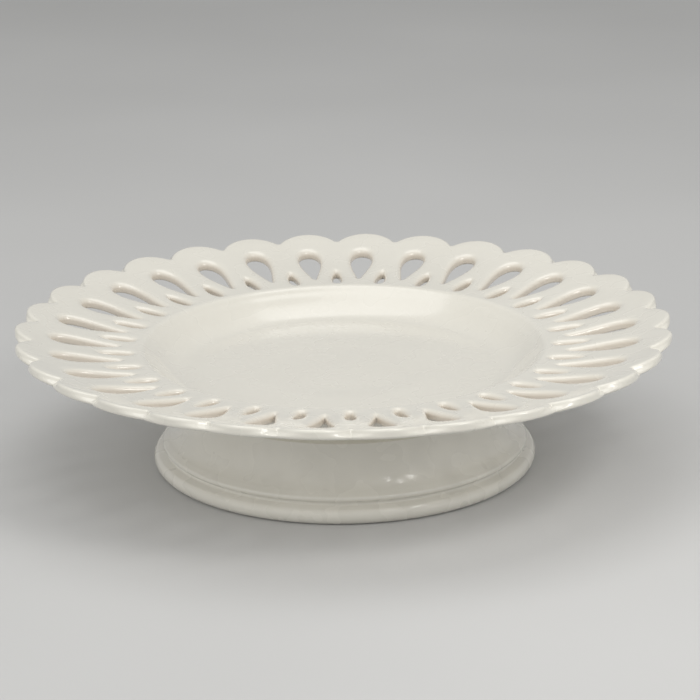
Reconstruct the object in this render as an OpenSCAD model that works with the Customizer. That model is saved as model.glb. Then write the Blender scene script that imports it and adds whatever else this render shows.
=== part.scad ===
// Low footed cake stand in glazed white earthenware, with a pierced and scalloped rim.
// Millimetres, +Z up. The origin is the centre of the ring that the foot rests on.
// It is a plate, made of a dished well and a pierced rim, on a hollow foot, joined by clay slip.

/* [Plate] */
// Diameter over the tips of the scallops
plate_d = 280; // [255:1:305]
// Height of the scallop tips above the table
plate_h = 62.8; // [59:0.1:67]
// Number of scallops, each with one large piercing
scallops = 30; // [26:1:32]
// How far a notch lies inside the scallop tips, on the upper side
scallop_depth = 7; // [4:0.1:8]
// How far the same notch lies inside the tips on the underside, where it is shallower
notch_low = 3.5; // [1.5:0.1:4]
// Angle at which the rim leaves the shoulder, before it curves up to the tips
rim_angle = 3.5; // [2:0.1:9]
// Thickness of the rim, measured upright
rim_t = 4.3; // [3.8:0.1:5.5]

/* [Well] */
// Diameter of the shoulder where the rim meets the well
shoulder_d = 175; // [168:1:178]
// Height of the shoulder above the table
shoulder_h = 52.2; // [49:0.1:55]
// Diameter of the flat floor
floor_d = 132; // [110:1:140]
// Height of the well's floor above the table
floor_h = 40.4; // [38:0.1:44]
// Thickness of the floor
floor_t = 5.6; // [4:0.1:7]

/* [Piercings] */
// Distance from a scallop tip in to the round end of the large piercing
large_inset = 15; // [14:0.1:18]
// Length of the large piercing
large_len = 28.5; // [22:0.1:30]
// Greatest width of the large piercing
large_w = 10; // [7:0.1:12.5]
// How pointed the large piercing is: at 0 it's an ellipse, at 1 it has a sharp point
large_taper = 0.8; // [0.5:0.05:0.9]
// Distance from the shoulder out to the round end of the small piercing
small_inset = 3; // [2:0.1:6]
// Length of the small piercing
small_len = 13.5; // [9:0.1:15]
// Greatest width of the small piercing
small_w = 3.8; // [3:0.1:5]
// How pointed the small piercing is, in the same way
small_taper = 0.2; // [0.1:0.05:0.8]

/* [Foot] */
// Diameter of the foot at its widest, across the base band
base_d = 165; // [156:1:172]
// Height of the base band, up to the groove
band_h = 7.8; // [6:0.1:9]
// Depth of the groove, measured in from the base band
groove_in = 5.2; // [4:0.1:6.5]
// Diameter of the foot where it meets the plate
neck_d = 136; // [126:1:140]
// Thickness of the foot's wall at the neck
wall_t = 6; // [5:0.1:8]
// Thickness of the layer of slip between foot and plate
slip_t = 0.8; // [0.5:0.1:1.5]
// Width of the slip's rounded fillets
slip_fillet = 4; // [2:0.1:4.5]

/* [Hidden] */
$fn = 120;
glaze = [0.87, 0.85, 0.80];
pooled_glaze = [0.83, 0.81, 0.74];
curve_steps = 8;
rim_steps = 3;
arc_step = 15;
over = 1;
lower_share = 0.5;

tip_r = plate_d / 2;
pitch = 360 / scallops;
shoulder_r = shoulder_d / 2;
rim_w = tip_r - shoulder_r;
rim_slope = tan(rim_angle);
rim_bow = (plate_h - shoulder_h - rim_slope * rim_w) / pow(rim_w, 2);

floor_r = floor_d / 2;
under_z = floor_h - floor_t;
under_r = floor_r + 7;
floor_handle = 10.5;
shoulder_handle = [6.5, 2.2];
under_handle = [7, 5];

base_r = base_d / 2;
band_r = band_h * 0.46;
band_sweep = [-60, 75];
groove_r = base_r - groove_in;
bead_round = 1.2;
bead_r = groove_r + 1.4;
bead_z = band_h + 2.4;
bead_sweep = [-50, 80];
cove_r = bead_r - 1.4;
cove_z = bead_z + 2;
cove_handle = [3.6, 3];
neck_r = neck_d / 2;
neck_handle = [0.6, 11];
bore_r = neck_r - wall_t;
bore_handle = [4, 12];
heel_r = groove_r - 5;
ring_r = groove_r - 1;
foot_h = under_z - slip_t;
slip_lap = 0.3;

// Height of the rim's upper side at radius r
function rim_z(r) = shoulder_h + rim_slope * (r - shoulder_r) + rim_bow * pow(r - shoulder_r, 2);

// A point on the cubic curve with ends a and d and handles b and c
function cubic(a, b, c, d, t) =
    pow(1 - t, 3) * a + 3 * t * pow(1 - t, 2) * b + 3 * t * t * (1 - t) * c + pow(t, 3) * d;

// The whole cubic curve as points
function curve(a, b, c, d) = [for (i = [0:curve_steps]) cubic(a, b, c, d, i / curve_steps)];

// Points on an arc, with both ends
function arc(centre, r, from, to) =
    let (n = ceil(abs(to - from) / arc_step))
    [for (i = [0:n]) let (a = from + (to - from) * i / n) centre + r * [cos(a), sin(a)]];

// A teardrop pointing along +X, len long and w wide, with its middle at the origin
function teardrop(len, w, taper) =
    let (at = (1 - sqrt(1 + 8 * taper * taper)) / (4 * taper))
    let (widest = 2 * sqrt(1 - at * at) * (1 - taper * at))
    [for (a = [0:20:340]) [len / 2 * cos(a), w / widest * sin(a) * (1 - taper * cos(a))]];

// A point turned by an angle about the origin
function turned(p, a) = [p[0] * cos(a) - p[1] * sin(a), p[0] * sin(a) + p[1] * cos(a)];

// Outline of one scallop: an arc over the tip, between notches at a given radius
function scallop(azimuth, notch) =
    let (x = notch * cos(pitch / 2), y = notch * sin(pitch / 2))
    let (c = (tip_r * tip_r - x * x - y * y) / (2 * (tip_r - x)), half = atan2(y, x - c))
    [for (p = arc([c, 0], tip_r - c, -half, half)) turned(p, azimuth)];

// Every scallop in turn makes the edge of the rim
module scalloped_edge(notch) {
    linear_extrude(plate_h + over)
        polygon([for (i = [0:scallops - 1]) each scallop(i * pitch, notch)]);
}

// The rim's section from one share of its thickness to another, measured down from the top
module rim_layer(from, to) {
    reach = rim_w + over;
    radii = [for (i = [0:rim_steps]) shoulder_r + reach * i / rim_steps];
    upper = [for (r = radii) [r, rim_z(r) - from * rim_t]];
    under = [for (i = [rim_steps:-1:0]) [radii[i], rim_z(radii[i]) - to * rim_t]];
    rotate_extrude() polygon(concat(upper, under));
}

// One ring of piercings of one outline, the first of them at an angle, at mid-radius r
module piercings(outline, r, angle, point_out) {
    for (i = [0:scallops - 1])
        rotate(angle + i * pitch)
            translate([r, 0])
                rotate(point_out ? 0 : 180)
                    polygon(outline);
}

// Dished centre of the plate: flat floor, curved wall and shoulder
module plate_well() {
    shoulder = [shoulder_r, shoulder_h];
    lower = shoulder - [0, rim_t];
    wall_top = curve([floor_r, floor_h], [floor_r + floor_handle, floor_h],
                     shoulder - shoulder_handle, shoulder);
    wall_under = curve(lower, lower - under_handle[1] * [1, rim_slope],
                       [under_r + under_handle[0], under_z], [under_r, under_z]);
    color(glaze)
        rotate_extrude()
            polygon(concat([[0, under_z], [0, floor_h]], wall_top, wall_under));
}

// Rim that curves gently up and outwards, with scalloped edge, large and small piercings
module pierced_rim() {
    large = teardrop(large_len, large_w, large_taper);
    small = teardrop(small_len, small_w, small_taper);
    large_r = tip_r - large_inset - large_len / 2;
    small_r = shoulder_r + small_inset + small_len / 2;
    color(glaze)
        difference() {
            union() {
                intersection() {
                    rim_layer(0, 1);
                    scalloped_edge(tip_r - scallop_depth);
                }
                intersection() {
                    rim_layer(1 - lower_share, 1);
                    scalloped_edge(tip_r - notch_low);
                }
            }
            linear_extrude(plate_h + over) piercings(large, large_r, 0, false);
            linear_extrude(plate_h + over) piercings(small, small_r, pitch / 2, true);
        }
}

// Hollow foot: rounded base band, groove, bead and a hollow-curved wall up to the neck
module pedestal_foot() {
    neck = [neck_r, foot_h];
    bore = [bore_r, foot_h];
    band_centre = [base_r - band_r, band_r];
    band = arc(band_centre, band_r, band_sweep[0], band_sweep[1]);
    bead = arc([bead_r - bead_round, bead_z], bead_round, bead_sweep[0], bead_sweep[1]);
    wall_out = curve([cove_r, cove_z], [neck_r, cove_z] + cove_handle,
                     neck + [neck_handle[0], -neck_handle[1]], neck);
    wall_in = curve(bore, bore + [neck_handle[0], -bore_handle[1]],
                    [bore_r + bore_handle[0], cove_z], [heel_r, band_h]);
    color(glaze)
        rotate_extrude()
            polygon(concat([[ring_r, 0], [base_r - band_r, 0]], band, [[groove_r, band_h]],
                           bead, wall_out, wall_in));
}

// Slip that joins foot and plate: a thin layer with a fillet inside and out
module luting_ring() {
    drop = foot_h - slip_fillet;
    out_r = neck_r + slip_fillet + slip_lap;
    in_r = bore_r - slip_fillet - slip_lap;
    outer = arc([out_r, drop], slip_fillet, 180, 90);
    inner = arc([in_r, drop], slip_fillet, 90, 0);
    color(pooled_glaze)
        rotate_extrude()
            polygon(concat([[out_r, under_z], [in_r, under_z]], inner,
                           [[bore_r, foot_h], [neck_r, foot_h]], outer));
}

plate_well();
pierced_rim();
pedestal_foot();
luting_ring();
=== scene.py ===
"""Looks of the low footed cake stand: glazed white earthenware with a pierced, scalloped rim.

Everything is in metres in the CAD frame: +Z up, the origin at the centre of the foot's ring.
One piece stands for the well and the rim and one for the foot. The CAD's own slip ring stays.
"""
import math

import bmesh
import bpy
import numpy as np
from mathutils import Matrix, Vector


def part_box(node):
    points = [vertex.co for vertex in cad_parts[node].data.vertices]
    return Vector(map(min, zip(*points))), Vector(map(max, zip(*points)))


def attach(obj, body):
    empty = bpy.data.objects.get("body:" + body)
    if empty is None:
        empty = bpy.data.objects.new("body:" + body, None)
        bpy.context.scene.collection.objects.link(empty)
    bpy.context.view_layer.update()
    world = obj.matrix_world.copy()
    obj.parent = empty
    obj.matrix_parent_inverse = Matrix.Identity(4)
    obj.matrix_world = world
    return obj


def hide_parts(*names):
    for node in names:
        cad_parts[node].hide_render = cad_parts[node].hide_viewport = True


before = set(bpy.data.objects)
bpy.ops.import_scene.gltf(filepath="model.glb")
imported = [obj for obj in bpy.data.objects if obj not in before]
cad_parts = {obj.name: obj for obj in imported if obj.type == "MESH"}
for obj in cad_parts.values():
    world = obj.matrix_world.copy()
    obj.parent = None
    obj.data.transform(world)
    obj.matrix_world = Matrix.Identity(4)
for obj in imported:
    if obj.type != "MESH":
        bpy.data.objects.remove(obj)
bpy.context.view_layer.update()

MM = 0.001

# ---------------------------------------------------------------- sizes read from the CAD frame
well_low, well_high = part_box("plate_well")
rim_low, rim_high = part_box("pierced_rim")
foot_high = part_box("pedestal_foot")[1]

TIP_R = rim_high.x
TIP_Z = rim_high.z
SHOULDER_R = well_high.x
SHOULDER_Z = well_high.z
UNDER_Z = well_low.z
BASE_R = foot_high.x
FOOT_TOP = foot_high.z
RIM_T = SHOULDER_Z - rim_low.z
RIM_W = TIP_R - SHOULDER_R

# ---------------------------------------------------------------- the rim's shape
# The rim leaves the shoulder at an angle and curves up from there to the tips
RIM_ANGLE = math.radians(3.5)
RIM_SLOPE = math.tan(RIM_ANGLE)
RIM_BOW = (TIP_Z - SHOULDER_Z - RIM_SLOPE * RIM_W) / RIM_W ** 2

SCALLOPS = 30
PITCH = 2 * math.pi / SCALLOPS
HALF = PITCH / 2

# How far a notch lies inside the tips, above and below, and the radius of its rounded bottom
NOTCH_IN = 7 * MM
NOTCH_LOW_IN = 3.5 * MM
NOTCH_FILLET = 0.8 * MM

# A large piercing lies on each scallop's middle line, a small one between each two scallops.
# The insets are from the tips in, and from the shoulder out, to the piercings' round ends.
LARGE_LEN, LARGE_W, LARGE_TAPER = 28.5 * MM, 10 * MM, 0.8
LARGE_INSET = 15 * MM
LARGE_POINT_R = TIP_R - LARGE_INSET - LARGE_LEN
SMALL_LEN, SMALL_W, SMALL_TAPER = 13.5 * MM, 3.8 * MM, 0.2
SMALL_INSET = 3 * MM
SMALL_END_R = SHOULDER_R + SMALL_INSET
OUTLINE_STEPS = 400

# Rounded edges of the piercings above, the scallops above and everything below:
# how wide the edge is in plan and how far it drops
HOLE_ROUND, HOLE_DROP = 2.6 * MM, 1.9 * MM
EDGE_ROUND, EDGE_DROP = 2.0 * MM, 1.6 * MM
LOW_ROUND, LOW_DROP = 1.2 * MM, 0.9 * MM

# Rows across a rounded edge, closest at the edge itself. They take up no more than a share of
# the way to the next line, and more rows then lead on to that line.
ROUND_STEPS = [1 - math.cos(math.radians(a)) for a in (0, 22.5, 45, 67.5, 90)]
ROUND_LIMIT = 0.8
OUTER_ROWS = 2

# Rows down the upright wall of a piercing or of the edge
WALL_ROWS = 5

# Half a scallop is made of three cells: beside half of the large piercing, beside half of the
# small one, and between the collar and the edge. The first two meet along the line from the
# cross, on the scallop's middle line, to the split, on the line between two scallops.
COLLAR_R = TIP_R - 11 * MM
CROSS_R = SHOULDER_R + 5.3 * MM
SPLIT_R = SHOULDER_R + 20 * MM

# Columns of quads along each stretch of a cell's boundary
RIBBON_COLS, SIDE_COLS, EDGE_COLS, FILLET_COLS = 10, 8, 8, 4
CAP_COLS = EDGE_COLS + FILLET_COLS
ARC_COLS, STEM_COLS = 6, 2

# Shares of the way along a piercing's side that lie opposite the corners of its cell
LARGE_AT_SPLIT, LARGE_AT_COLLAR = 0.42, 0.83
SMALL_AT_SHOULDER, SMALL_AT_CROSS = 0.82, 0.7

# ---------------------------------------------------------------- unevenness of hand work
# Spread of the large piercings' size and of their place along the radius
SIZE_SPREAD = 0.012
SHIFT_SPREAD = 0.25 * MM

# Waves round the plate: size, how many waves there are and where they start. The plate is also
# a little lower than the CAD's towards the tips.
LIFT_WAVES = ((0.22 * MM, 2, 0.7), (0.12 * MM, 3, 2.1))
LOWERED = 0.34 * MM

# The piercings are a little out of step with the scallops. The turn fades out before the edge.
PIERCING_TURN = math.radians(0.5)
TURN_WAVES = ((0.0018, 2, 1.3), (0.0014, 5, 0))
TURN_END_R = TIP_R - 9 * MM
TURN_FADE = 6 * MM

# ---------------------------------------------------------------- the well's shape
FLOOR_R = SHOULDER_R - 21.5 * MM
FLOOR_T = 5.6 * MM
FLOOR_Z = UNDER_Z + FLOOR_T
UNDER_R = FLOOR_R + 7 * MM

# The floor sags inside a radius, and the sag is complete a little further in
FLOOR_SAG = 0.35 * MM
SAG_R = 40 * MM
SAG_FADE = 14 * MM

# Handles of the wall's curves at the shoulder, at the floor and at the underside
SHOULDER_HANDLE = 5 * MM
FLOOR_HANDLE = 11.5 * MM
UNDER_HANDLE = 7 * MM

# The double line at the shoulder: height, radius and width of a raised line and a sunk one
RAISED_LINE = (0.12 * MM, SHOULDER_R - 2.1 * MM, 0.9 * MM)
SUNK_LINE = (-0.16 * MM, SHOULDER_R - 4.1 * MM, 1.2 * MM)

# Rows along each stretch of the profiles. The upper wall's are closer towards the shoulder.
WALL_TOP_ROWS, FLOOR_ROWS = 40, 22
WALL_UNDER_ROWS, UNDER_ROWS = 14, 8
WALL_CROWDING = 1.25

# ---------------------------------------------------------------- the foot's shape
BAND_H = 7.8 * MM
BAND_ROUND = BAND_H * 0.46
BAND_SWEEP = (-70, 62)
GROOVE_R = BASE_R - 5.2 * MM
GROOVE_CENTRE = (GROOVE_R + 0.75 * MM, BAND_H + 0.15 * MM)
GROOVE_ROUND = 0.8 * MM
GROOVE_SWEEP = (250, 125)
BEAD_Z = BAND_H + 2.4 * MM
BEAD_CENTRE = (GROOVE_R + 0.1 * MM, BEAD_Z - 0.1 * MM)
BEAD_ROUND = 1.3 * MM
BEAD_SWEEP = (-50, 75)
COVE_Z = BEAD_Z + 2 * MM
COVE_FOOT = (GROOVE_R - 0.4 * MM, COVE_Z)
NECK_R = 68 * MM
BORE_R = NECK_R - 6 * MM
HEEL = (GROOVE_R - 5 * MM, BAND_H)
RING_R = GROOVE_R - 1 * MM

# Handles of the curves outside, inside and from the heel down to the ring
COVE_HANDLE = (NECK_R + 4.2 * MM, COVE_Z + 2.4 * MM)
NECK_HANDLE = (NECK_R + 0.6 * MM, FOOT_TOP - 11 * MM)
BORE_HANDLE = (BORE_R + 0.6 * MM, FOOT_TOP - 12 * MM)
HOLLOW_HANDLE = (BORE_R + 4 * MM, COVE_Z)
HEEL_HANDLE = (GROOVE_R - 2.6 * MM, BAND_H - 2.4 * MM)
RING_HANDLE = (GROOVE_R - 1.4 * MM, 2.4 * MM)

RING_ROWS, BAND_ROWS, GROOVE_ROWS, BEAD_ROWS = 5, 14, 7, 9
OUTSIDE_ROWS, TOP_ROWS, INSIDE_ROWS, HEEL_ROWS = 20, 4, 16, 8
FOOT_COLS = 288

# The foot is unglazed up to this height
CLAY_TOP = 0.05 * MM

rng = np.random.default_rng(seed=30)


# ---------------------------------------------------------------- plan shapes, one scallop along +X
def polar(radius, angle):
    return np.array([radius * math.cos(angle), radius * math.sin(angle)])


def teardrop_side(t, length, width, taper):
    """Points on one side of a teardrop, at shares t of the way from its point to its round end.

    The point is at x = 0 and the round end at x = length. The nearer the taper is to 0, the
    nearer the outline is to an ellipse.
    """
    sweep = np.linspace(0, math.pi, OUTLINE_STEPS)
    at = (1 - math.sqrt(1 + 8 * taper ** 2)) / (4 * taper)
    widest = 2 * math.sqrt(1 - at ** 2) * (1 - taper * at)
    x = length / 2 * (1 - np.cos(sweep))
    y = width / widest * np.sin(sweep) * (1 - taper * np.cos(sweep))
    run = np.concatenate([[0], np.cumsum(np.hypot(np.diff(x), np.diff(y)))])
    share = run / run[-1]
    return np.stack([np.interp(t, share, x), np.interp(t, share, y)], -1)


def scallop_side(notch_r):
    """Half of a scallop's edge, from the notch's rounded bottom to the tip."""
    notch = polar(notch_r, HALF)
    centre_x = (TIP_R ** 2 - notch @ notch) / (2 * (TIP_R - notch[0]))
    radius = TIP_R - centre_x
    line = polar(1, HALF)
    along = line[0] * centre_x
    away = line[1] * centre_x
    reach = radius + NOTCH_FILLET
    hub = line * (along + math.sqrt(reach ** 2 - away ** 2))
    touch = math.atan2(hub[1], hub[0] - centre_x)
    start, end = HALF + math.pi, touch + math.pi
    fillet = [hub + NOTCH_FILLET * polar(1, a) for a in np.linspace(start, end, FILLET_COLS + 1)]
    edge = [np.array([centre_x, 0]) + radius * polar(1, a)
            for a in np.linspace(touch, 0, EDGE_COLS + 1)]
    return np.array(fillet + edge[1:])


def path(*stretches):
    """Points along straight or round stretches: (function of 0 to 1, number of columns) each."""
    points = [stretches[0][0](0)]
    for shape, cols in stretches:
        points += [shape(i / cols) for i in range(1, cols + 1)]
    return np.array(points)


def straight(a, b):
    return lambda t: a + (b - a) * t


def round_arc(radius, start, end):
    return lambda t: polar(radius, start + (end - start) * t)


def split_range(*stops):
    """A rising or falling run of numbers: (value, columns to the next value) and a last value."""
    values = [stops[0][0]]
    for (a, cols), b in zip(stops, [s[0] for s in stops[1:]]):
        values += [a + (b - a) * i / cols for i in range(1, cols + 1)]
    return np.array(values)


cross = np.array([CROSS_R, 0.0])
split = polar(SPLIT_R, HALF)
collar_side = polar(COLLAR_R, HALF)
shoulder_mid = np.array([SHOULDER_R, 0.0])

# Shares of the way along a piercing's side, each joined to a point of its cell's boundary
LARGE_SHARES = split_range((0, RIBBON_COLS), (LARGE_AT_SPLIT, SIDE_COLS),
                           (LARGE_AT_COLLAR, CAP_COLS), (1, 0))
LARGE_BOUND = path((straight(cross, split), RIBBON_COLS), (straight(split, collar_side), SIDE_COLS),
                   (round_arc(COLLAR_R, HALF, 0), CAP_COLS))
SMALL_SHARES = split_range((1, ARC_COLS), (SMALL_AT_SHOULDER, STEM_COLS),
                           (SMALL_AT_CROSS, RIBBON_COLS), (0, 0))
SMALL_BOUND = path((round_arc(SHOULDER_R, HALF, 0), ARC_COLS),
                   (straight(shoulder_mid, cross), STEM_COLS),
                   (straight(cross, split), RIBBON_COLS))
COLLAR_BOUND = LARGE_BOUND[-CAP_COLS - 1:]
EDGE_LINE = scallop_side(TIP_R - NOTCH_IN)
LOW_LINE = scallop_side(TIP_R - NOTCH_LOW_IN)


def rings_from(line, bound, width):
    """Rows of points from a rounded line out to a bound, close together where it is rounded."""
    reach = np.linalg.norm(bound - line, axis=1)[:, None]
    rows = [line + (bound - line) * np.minimum(step * width / reach, ROUND_LIMIT * step)
            for step in ROUND_STEPS]
    last = rows[-1]
    rows += [last + (bound - last) * i / OUTER_ROWS for i in range(1, OUTER_ROWS + 1)]
    return np.array(rows)


def nearest(points, line):
    """Distance of each point to a polyline."""
    a, b = line[:-1], line[1:]
    run = b - a
    p = points[:, None, :] - a[None]
    t = np.clip((p * run).sum(-1) / (run * run).sum(-1), 0, 1)
    return np.linalg.norm(p - t[..., None] * run, axis=-1).min(1)


def both_sides(line):
    """A line on one side of the X axis, continued by its mirror image."""
    return np.concatenate([line, line[-2::-1] * [1, -1]])


def turn(plan, angle, mirror=False):
    """Plan points turned about the Z axis, mirrored first in the X axis if asked."""
    x, y = plan[..., 0], plan[..., 1] * (-1 if mirror else 1)
    cosine, sine = math.cos(angle), math.sin(angle)
    return np.stack([x * cosine - y * sine, x * sine + y * cosine], -1)


# ---------------------------------------------------------------- heights and curves
def eased(distance, width, drop):
    """How far a rounded edge has dropped at a distance in from it."""
    inside = np.clip(1 - distance / width, 0, 1)
    return drop * (1 - np.sqrt(1 - inside ** 2))


def faded(radius, end, width):
    """0 outside a radius, rising smoothly over a width to 1 further in."""
    share = np.clip((end - radius) / width, 0, 1)
    return share ** 2 * (3 - 2 * share)


def ridge(radius, height, centre, width):
    """Height at a radius of a low rounded line that runs round the well."""
    return height * np.exp(-((radius - centre) / width) ** 2)


def waves(angle, parts):
    """Sum of waves round the plate: (size, number of waves, start) each."""
    return sum(size * np.sin(count * angle + start) for size, count, start in parts)


def rim_height(plan):
    """Height of the rim's upper side over plan points."""
    out = np.hypot(plan[..., 0], plan[..., 1]) - SHOULDER_R
    return SHOULDER_Z + RIM_SLOPE * out + RIM_BOW * out ** 2


def cubic(a, b, c, d, t):
    """Points at shares t along the cubic curve with ends a and d and handles b and c."""
    a, b, c, d = (np.array(p) for p in (a, b, c, d))
    t = np.asarray(t)[:, None]
    return (1 - t) ** 3 * a + 3 * t * (1 - t) ** 2 * b + 3 * t * t * (1 - t) * c + t ** 3 * d


def curve(a, b, c, d, rows):
    return cubic(a, b, c, d, np.linspace(0, 1, rows))


def level(start, end, z, rows):
    """(radius, height) points at one height."""
    return np.stack([np.linspace(start, end, rows), np.full(rows, z)], -1)


def arc_points(centre, radius, sweep, rows):
    a = np.radians(np.linspace(*sweep, rows))
    return np.stack([centre[0] + radius * np.cos(a), centre[1] + radius * np.sin(a)], -1)


def spun(profile, angles):
    """A profile turned round the Z axis, one row for each of its points."""
    radius = profile[:, :1]
    z = np.repeat(profile[:, 1:], len(angles), axis=1)
    return np.stack([radius * np.cos(angles), radius * np.sin(angles), z], -1)


def lifted(plan, z):
    """Plan points with their heights added."""
    return np.concatenate([plan, z[..., None]], -1)


def wobble(points):
    """Slight unevenness of a hand-finished plate, and the turn of the piercings."""
    x, y, z = points[..., 0], points[..., 1], points[..., 2]
    radius, angle = np.hypot(x, y), np.arctan2(y, x)
    out = (radius / TIP_R) ** 2
    twist = (PIERCING_TURN + waves(angle, TURN_WAVES)) * faded(radius, TURN_END_R, TURN_FADE)
    cosine, sine = np.cos(twist), np.sin(twist)
    height = z + out * (waves(angle, LIFT_WAVES) - LOWERED)
    return np.stack([x * cosine - y * sine, x * sine + y * cosine, height], -1)


# ---------------------------------------------------------------- mesh assembly
class Sheet:
    """Vertices and quads gathered from grids of points.

    A point attribute says how much the glaze has the cut walls' tone at each vertex: a warmer,
    darker tone that is partly pooled glaze and partly painted shade in the piercings.
    """

    merge = 0.004 * MM

    def __init__(self):
        self.points, self.faces, self.pool_and_shade = [], [], []

    def grid(self, rows, pool_and_shade=None, closed=False):
        """rows is an array of rows x columns x 3. closed joins the last column to the first."""
        count, cols = rows.shape[:2]
        base = len(self.points)
        self.points += rows.reshape(-1, 3).tolist()
        self.pool_and_shade += (np.zeros(count * cols) if pool_and_shade is None else pool_and_shade.reshape(-1)).tolist()
        for r in range(count - 1):
            for c in range(cols if closed else cols - 1):
                n = (c + 1) % cols
                self.faces.append((base + r * cols + c, base + r * cols + n,
                                   base + (r + 1) * cols + n, base + (r + 1) * cols + c))

    def build(self, name):
        """One smooth object, with vertices merged where the grids meet."""
        mesh = bpy.data.meshes.new(name)
        mesh.from_pydata(self.points, [], self.faces)
        layer = mesh.attributes.new("pool_and_shade", "FLOAT", "POINT")
        layer.data.foreach_set("value", np.array(self.pool_and_shade, np.float32))
        work = bmesh.new()
        work.from_mesh(mesh)
        bmesh.ops.remove_doubles(work, verts=work.verts, dist=self.merge)
        bmesh.ops.dissolve_degenerate(work, edges=work.edges, dist=self.merge / 2)
        bmesh.ops.recalc_face_normals(work, faces=work.faces)
        for face in work.faces:
            face.smooth = True
        work.to_mesh(mesh)
        work.free()
        piece = bpy.data.objects.new(name, mesh)
        bpy.context.scene.collection.objects.link(piece)
        return piece


# ---------------------------------------------------------------- the pierced rim
def large_piercing():
    """One side of a large piercing on the scallop's middle line, with its own size and place.

    Two random shifts are drawn and the first is used, so that the later draws stay in order.
    """
    size = 1 + rng.normal(0, SIZE_SPREAD, 2)
    shift = rng.normal(0, SHIFT_SPREAD, 2)
    side = teardrop_side(LARGE_SHARES, LARGE_LEN * size[0], LARGE_W * size[1], LARGE_TAPER)
    side[:, 0] += LARGE_POINT_R + shift[0]
    return side


def small_piercing():
    """One side of a small piercing on the line between two scallops, pointing outwards."""
    side = teardrop_side(SMALL_SHARES, SMALL_LEN, SMALL_W, SMALL_TAPER)
    side = np.stack([SMALL_END_R + SMALL_LEN - side[:, 0], -side[:, 1]], -1)
    return turn(side, HALF)


def add_both_halves(sheet, plan, z, angle, pool_and_shade):
    """A grid on half of a scallop, and its mirror image on the other half."""
    for mirror in (False, True):
        sheet.grid(wobble(lifted(turn(plan, angle, mirror), z)), pool_and_shade)


def rim_side(sheet, large, small, angle, low):
    """The rim's upper or lower side over one scallop, with its edges rounded."""
    edge = LOW_LINE if low else EDGE_LINE
    hole_round, hole_drop = (LOW_ROUND, LOW_DROP) if low else (HOLE_ROUND, HOLE_DROP)
    edge_round, edge_drop = (LOW_ROUND, LOW_DROP) if low else (EDGE_ROUND, EDGE_DROP)
    cells = (rings_from(large, LARGE_BOUND, hole_round),
             rings_from(small, SMALL_BOUND, hole_round),
             rings_from(edge, COLLAR_BOUND, edge_round))
    for plan in cells:
        flat = plan.reshape(-1, 2)
        drop = np.maximum(eased(nearest(flat, both_sides(large)), hole_round, hole_drop),
                          eased(nearest(flat, small), hole_round, hole_drop))
        # The rounded lips of the piercings take the cut walls' tone as they drop: pooled glaze with
        # painted shade.
        pool_and_shade = (drop / hole_drop).reshape(plan.shape[:2])
        drop += eased(nearest(flat, edge), edge_round, edge_drop)
        drop = drop.reshape(plan.shape[:2])
        z = rim_height(plan) - RIM_T + drop if low else rim_height(plan) - drop
        add_both_halves(sheet, plan, z, angle, pool_and_shade)


def rim_wall(sheet, above, below, top_drop, angle, pool_and_shade):
    """The upright wall between an edge above and an edge below."""
    high = rim_height(above) - top_drop
    low = rim_height(below) - RIM_T + LOW_DROP
    share = np.linspace(0, 1, WALL_ROWS)[:, None]
    plan = above + (below - above) * np.sin(share * math.pi / 2)[..., None]
    z = high + (low - high) * share
    add_both_halves(sheet, plan, z, angle, np.full(z.shape, pool_and_shade))


def add_scallop(sheet, angle):
    """One scallop of the rim: both sides of it, the walls of its piercings and its edge."""
    large, small = large_piercing(), small_piercing()
    for low in (False, True):
        rim_side(sheet, large, small, angle, low)
    # The piercings' walls take the cut walls' tone in full, pooled glaze with painted shade; the
    # edge's wall does not.
    rim_wall(sheet, large, large, HOLE_DROP, angle, 1)
    rim_wall(sheet, small, small, HOLE_DROP, angle, 1)
    rim_wall(sheet, EDGE_LINE, LOW_LINE, EDGE_DROP, angle, 0)


# ---------------------------------------------------------------- the well
def well_profile():
    """(radius, height) from the shoulder in to the middle, on the upper side."""
    crowded = np.linspace(0, 1, WALL_TOP_ROWS) ** WALL_CROWDING
    wall = cubic((SHOULDER_R, SHOULDER_Z),
                 (SHOULDER_R - SHOULDER_HANDLE, SHOULDER_Z - SHOULDER_HANDLE * RIM_SLOPE),
                 (FLOOR_R + FLOOR_HANDLE, FLOOR_Z), (FLOOR_R, FLOOR_Z), crowded)
    wall[:, 1] += ridge(wall[:, 0], *RAISED_LINE) + ridge(wall[:, 0], *SUNK_LINE)
    profile = np.concatenate([wall, level(FLOOR_R, 0, FLOOR_Z, FLOOR_ROWS)[1:]])
    profile[:, 1] -= FLOOR_SAG * faded(profile[:, 0], SAG_R, SAG_FADE)
    return profile


def under_profile():
    """(radius, height) from the shoulder in to the middle, on the underside."""
    low = SHOULDER_Z - RIM_T
    wall = curve((SHOULDER_R, low),
                 (SHOULDER_R - SHOULDER_HANDLE, low - SHOULDER_HANDLE * RIM_SLOPE),
                 (UNDER_R + UNDER_HANDLE, UNDER_Z), (UNDER_R, UNDER_Z), WALL_UNDER_ROWS)
    return np.concatenate([wall, level(UNDER_R, 0, UNDER_Z, UNDER_ROWS)[1:]])


def make_plate():
    sheet = Sheet()
    for sector in range(SCALLOPS):
        add_scallop(sheet, sector * PITCH)
    angles = np.arange(SCALLOPS * 2 * ARC_COLS) * HALF / ARC_COLS
    for profile in (well_profile(), under_profile()):
        sheet.grid(wobble(spun(profile, angles)), closed=True)
    return sheet.build("plate")


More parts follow.
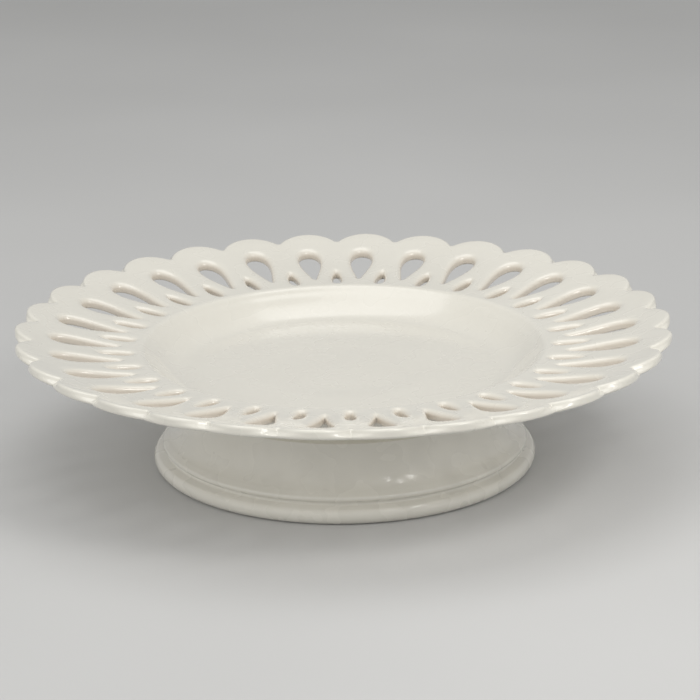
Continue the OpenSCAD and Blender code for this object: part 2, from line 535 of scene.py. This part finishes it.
# ---------------------------------------------------------------- the foot
def foot_profile():
    """The foot's wall as a closed outline of (radius, height), from the ring up and round."""
    neck, bore = (NECK_R, FOOT_TOP), (BORE_R, FOOT_TOP)
    ring = level(RING_R, BASE_R - BAND_ROUND, 0.0, RING_ROWS)
    band = arc_points((BASE_R - BAND_ROUND, BAND_ROUND), BAND_ROUND, BAND_SWEEP, BAND_ROWS)
    groove = arc_points(GROOVE_CENTRE, GROOVE_ROUND, GROOVE_SWEEP, GROOVE_ROWS)
    bead = arc_points(BEAD_CENTRE, BEAD_ROUND, BEAD_SWEEP, BEAD_ROWS)
    outside = curve(COVE_FOOT, COVE_HANDLE, NECK_HANDLE, neck, OUTSIDE_ROWS)
    top = level(NECK_R, BORE_R, FOOT_TOP, TOP_ROWS)[1:-1]
    inside = curve(bore, BORE_HANDLE, HOLLOW_HANDLE, HEEL, INSIDE_ROWS)
    heel = curve(HEEL, HEEL_HANDLE, RING_HANDLE, (RING_R, 0), HEEL_ROWS)[1:-1]
    return np.concatenate([ring, band, groove, bead, outside, top, inside, heel, ring[:1]])


def make_foot():
    angles = np.linspace(0, 2 * math.pi, FOOT_COLS, endpoint=False)
    sheet = Sheet()
    sheet.grid(spun(foot_profile(), angles), closed=True)
    return sheet.build("pedestal_foot")


# ---------------------------------------------------------------- materials
class Paint:
    """A new material, with short ways to add nodes to it."""

    # Places of the colour sockets of a Mix node
    mix_factor, mix_a, mix_b, mix_result = 0, 6, 7, 2

    def __init__(self, name):
        self.material = bpy.data.materials.new(name)
        self.material.use_nodes = True
        self.nodes = self.material.node_tree.nodes
        self.links = self.material.node_tree.links
        self.shader = self.nodes["Principled BSDF"]
        self.where = self.nodes.new("ShaderNodeTexCoord").outputs["Object"]

    def set(self, name, value):
        """Gives a value or another node's output to an input of the shader."""
        if isinstance(value, bpy.types.NodeSocket):
            self.links.new(value, self.shader.inputs[name])
        else:
            self.shader.inputs[name].default_value = value

    def noise(self, scale, detail=2.0, rough=0.5):
        node = self.nodes.new("ShaderNodeTexNoise")
        node.inputs["Scale"].default_value = scale
        node.inputs["Detail"].default_value = detail
        node.inputs["Roughness"].default_value = rough
        self.links.new(self.where, node.inputs["Vector"])
        return node.outputs["Fac"]

    def mapped(self, value, before, after):
        """A value moved from one range to another."""
        node = self.nodes.new("ShaderNodeMapRange")
        for key, number in zip(("From Min", "From Max", "To Min", "To Max"), (*before, *after)):
            node.inputs[key].default_value = number
        self.links.new(value, node.inputs["Value"])
        return node.outputs["Result"]

    def mixed(self, factor, a, b):
        """A colour between a and b."""
        node = self.nodes.new("ShaderNodeMix")
        node.data_type = "RGBA"
        for socket, colour in ((node.inputs[self.mix_a], a), (node.inputs[self.mix_b], b)):
            if isinstance(colour, tuple):
                socket.default_value = (*colour, 1)
            else:
                self.links.new(colour, socket)
        self.links.new(factor, node.inputs[self.mix_factor])
        return node.outputs[self.mix_result]

    def bumped(self, height, distance, strength, below=None):
        """Fine relief, on top of another if one is given."""
        node = self.nodes.new("ShaderNodeBump")
        node.inputs["Distance"].default_value = distance
        node.inputs["Strength"].default_value = strength
        self.links.new(height, node.inputs["Height"])
        if below is not None:
            self.links.new(below, node.inputs["Normal"])
        return node.outputs["Normal"]

    def attribute(self, name):
        node = self.nodes.new("ShaderNodeAttribute")
        node.attribute_name = name
        return node.outputs["Fac"]


def glaze(name, light, deep, cut):
    """Glossy glaze, cloudy between a light and a deep tone, in a third tone on cut walls: a warmer,
    darker glaze that is partly pooled glaze and partly painted shade.
    """
    paint = Paint(name)
    cloud = paint.mapped(paint.noise(scale=16, detail=3), (0.2, 0.8), (0, 1))
    mottle = paint.mapped(paint.noise(scale=220), (0.25, 0.8), (0, 0.4))
    colour = paint.mixed(mottle, paint.mixed(cloud, light, deep), deep)
    wave = paint.bumped(paint.noise(scale=30, detail=0), 0.2 * MM, 0.35)
    peel = paint.bumped(paint.noise(scale=620, detail=1), 0.01 * MM, 0.12, wave)
    # The cut walls' tone is pooled glaze with painted shade, laid on by the point attribute.
    paint.set("Base Color", paint.mixed(paint.attribute("pool_and_shade"), colour, cut))
    paint.set("Roughness", paint.mapped(paint.noise(scale=60), (0.2, 0.8), (0.2, 0.34)))
    paint.set("Normal", peel)
    paint.set("IOR", 1.5)
    paint.set("Coat Weight", 0.7)
    paint.set("Coat Roughness", 0.12)
    return paint.material


def bare_clay():
    """The unglazed ring that the foot rests on."""
    paint = Paint("bare_clay")
    grain = paint.mapped(paint.noise(scale=900, detail=4, rough=0.7), (0.35, 0.65), (0, 1))
    paint.set("Base Color", paint.mixed(grain, (0.62, 0.53, 0.42), (0.5, 0.41, 0.31)))
    paint.set("Roughness", paint.mapped(grain, (0, 1), (0.75, 0.9)))
    paint.set("Normal", paint.bumped(grain, 0.08 * MM, 0.6))
    return paint.material


def floor_paper():
    paint = Paint("floor_paper")
    tone = paint.mapped(paint.noise(scale=3), (0.3, 0.7), (0, 1))
    paint.set("Base Color", paint.mixed(tone, (0.5, 0.5, 0.5), (0.54, 0.54, 0.54)))
    paint.set("Roughness", 0.8)
    return paint.material


# ---------------------------------------------------------------- pieces
# The third tone, for the cut walls, is warmer and darker: pooled glaze with painted shade in the
# piercings.
white_glaze = glaze("white_glaze", (0.71, 0.69, 0.63), (0.67, 0.65, 0.59), (0.69, 0.63, 0.55))
pooled_glaze = glaze("pooled_glaze", (0.66, 0.63, 0.54), (0.58, 0.55, 0.46), (0.66, 0.63, 0.54))

plate = make_plate()
plate.data.materials.append(white_glaze)
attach(plate, "root")
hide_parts("plate_well", "pierced_rim")

foot = make_foot()
foot.data.materials.append(white_glaze)
foot.data.materials.append(bare_clay())
for face in foot.data.polygons:
    if face.center.z < CLAY_TOP:
        face.material_index = 1
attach(foot, "root")
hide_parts("pedestal_foot")

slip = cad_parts["luting_ring"]
slip.data.materials.clear()
slip.data.materials.append(pooled_glaze)


# ---------------------------------------------------------------- floor, lights, camera
def make_floor(reach):
    """A square of paper that reaches this far from the middle each way."""
    corners = [(-reach, -reach, 0), (reach, -reach, 0), (reach, reach, 0), (-reach, reach, 0)]
    mesh = bpy.data.meshes.new("floor")
    mesh.from_pydata(corners, [], [(0, 1, 2, 3)])
    mesh.materials.append(floor_paper())
    sheet = bpy.data.objects.new("floor", mesh)
    bpy.context.scene.collection.objects.link(sheet)
    return sheet


def area_light(name, place, size, power, colour, glossy=True):
    """A lamp that faces the middle of the stand. Reflections show it only if glossy is true."""
    lamp = bpy.data.lights.new(name, "AREA")
    lamp.shape = "RECTANGLE"
    lamp.size, lamp.size_y = size
    lamp.energy = power
    lamp.color = colour
    light = bpy.data.objects.new(name, lamp)
    light.location = place
    light.visible_glossy = glossy
    facing = Vector((0, 0, TIP_Z / 2)) - Vector(place)
    light.rotation_euler = facing.to_track_quat("-Z", "Y").to_euler()
    bpy.context.scene.collection.objects.link(light)


def add_world(colour, strength):
    world = bpy.data.worlds.new("studio")
    world.use_nodes = True
    background = world.node_tree.nodes["Background"]
    background.inputs["Color"].default_value = (*colour, 1)
    background.inputs["Strength"].default_value = strength
    bpy.context.scene.world = world


def add_camera():
    """Camera at the photo's angle: long lens, about 18 degrees up, nearly level.

    The distance and the shifts are from a pivot just under the height of the tips. The swing is
    about the stand's own axis.
    """
    distance, lens, sensor = 1.0967, 131.95, 36
    elevation, swing, roll = (math.radians(a) for a in (17.96, -1.22, 0.79))
    shift_right, shift_up = -3 * MM, 12.73 * MM
    pivot_z = TIP_Z - 1.1 * MM
    forward = Vector((0, math.cos(elevation), -math.sin(elevation)))
    level_up = Vector((0, math.sin(elevation), math.cos(elevation)))
    right = Vector((1, 0, 0)) * math.cos(roll) - level_up * math.sin(roll)
    up = Vector((1, 0, 0)) * math.sin(roll) + level_up * math.cos(roll)
    pose = Matrix((right, up, -forward)).transposed().to_4x4()
    pose.translation = -(right * shift_right + up * shift_up + forward * distance)
    data = bpy.data.cameras.new("camera")
    data.lens = lens
    data.sensor_width = sensor
    camera = bpy.data.objects.new("camera", data)
    camera.matrix_world = Matrix.Translation((0, 0, pivot_z)) @ Matrix.Rotation(swing, 4, "Z") @ pose
    bpy.context.scene.collection.objects.link(camera)
    bpy.context.scene.camera = camera


floor = make_floor(reach=5.0)

area_light("overhead", (-0.1, 0.15, 1.2), (1.2, 0.8), 5, (1, 1, 0.99))
area_light("front_high", (0.0, -1.0, 1.2), (2.2, 1.0), 3.5, (1, 0.99, 0.97))
area_light("left_front", (-1.1, -0.7, 0.5), (1.1, 0.8), 5.2, (1, 0.99, 0.96), glossy=False)
area_light("right_side", (1.1, -0.5, 0.45), (0.9, 0.6), 2.4, (1, 0.99, 0.97), glossy=False)
area_light("right_high", (0.32, -0.36, 0.5), (0.22, 0.22), 1.1, (1, 0.98, 0.94))

add_world((1, 1, 0.98), 0.48)
add_camera()
bpy.context.scene.view_settings.view_transform = "Standard"
